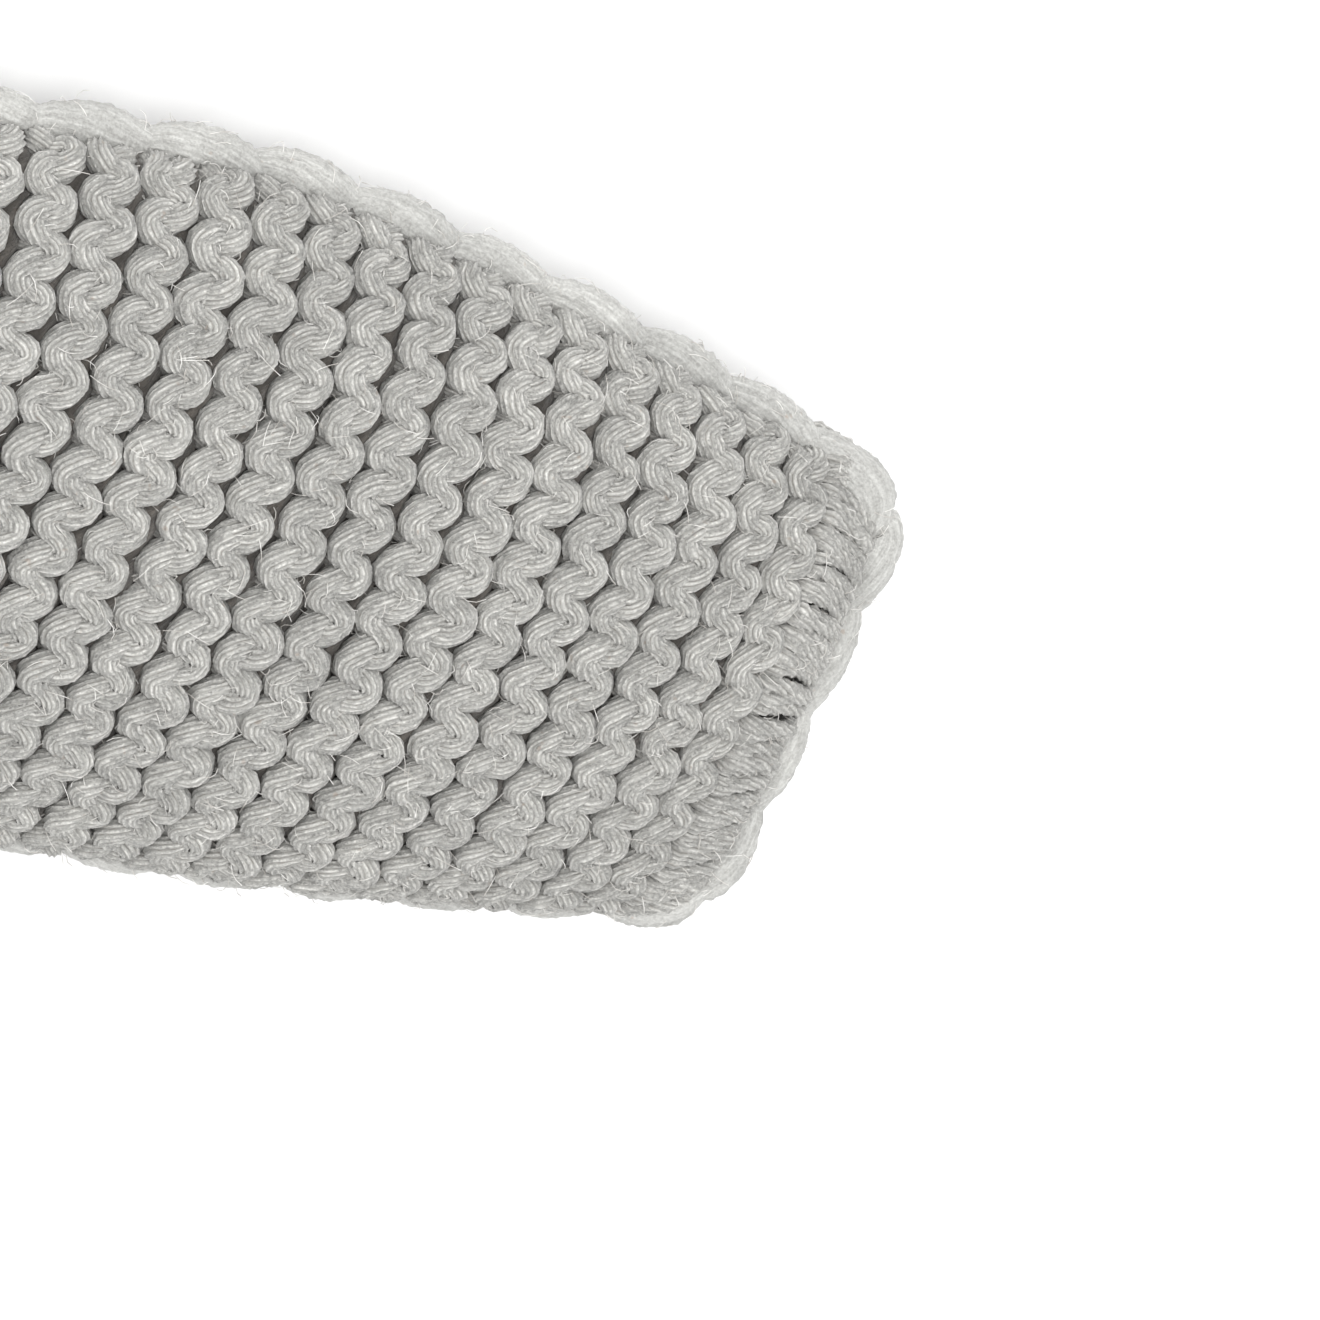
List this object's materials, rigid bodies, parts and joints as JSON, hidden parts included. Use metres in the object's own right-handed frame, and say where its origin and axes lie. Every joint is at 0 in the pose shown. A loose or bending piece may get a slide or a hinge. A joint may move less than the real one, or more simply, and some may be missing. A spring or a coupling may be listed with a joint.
{
  "type": "rectangular throw pillow",
  "caption": "Puffy rectangular throw pillow with a thick knitted cover, an end zip that opens it, a lining and a soft stuffed insert.",
  "frame": {"origin": "middle of the box at the bottom, where the pillow rests on its back", "axes": "+X along the pillow to its closed end, +Y across it along the knit's ridges, +Z out of its front"},
  "size_m": [0.6398, 0.308, 0.13],
  "materials": {
    "knit_yarn": "thick soft multi-strand wool-blend yarn, light heather grey, garter stitch",
    "joining_yarn": "plied wool-blend yarn, light heather grey",
    "lining_cloth": "plain woven cotton, dark warm grey",
    "insert_cloth": "plain woven cotton, off-white",
    "insert_fill": "soft fibre fill, white",
    "zip_tape": "woven zip tape, grey",
    "zip_teeth": "moulded, grey, satin",
    "zip_metal": "die-cast, satin nickel"
  },
  "bodies": {
    "cover": {"front_knit_panel": "knit_yarn", "back_knit_panel": "knit_yarn", "far_side_joining_yarn": "joining_yarn", "near_side_joining_yarn": "joining_yarn", "end_joining_yarn": "joining_yarn", "lining_front": "lining_cloth", "lining_back": "lining_cloth", "insert_casing_front": "insert_cloth", "insert_casing_back": "insert_cloth", "insert_fill": "insert_fill", "zip_tape_front": "zip_tape", "zip_tape_back": "zip_tape", "zip_teeth_front": "zip_teeth", "zip_teeth_back": "zip_teeth", "zip_top_stop_front": "zip_metal", "zip_top_stop_back": "zip_metal", "zip_bottom_stop": "zip_metal"},
    "slider": {"zip_slider": "zip_metal"},
    "pull_tab": {"zip_pull_tab": "zip_metal"}
  },
  "joints": [
    {"name": "zip_slide", "type": "slide", "parent": "cover", "child": "slider", "axis": [0, -1, 0], "range_m": [0, 0.092]},
    {"name": "pull_tab_hinge", "type": "hinge", "parent": "slider", "child": "pull_tab", "pos_m": [-0.30014, 0.04285, 0.06], "axis": [0, 0, -1], "range_deg": [0, 150]}
  ]
}
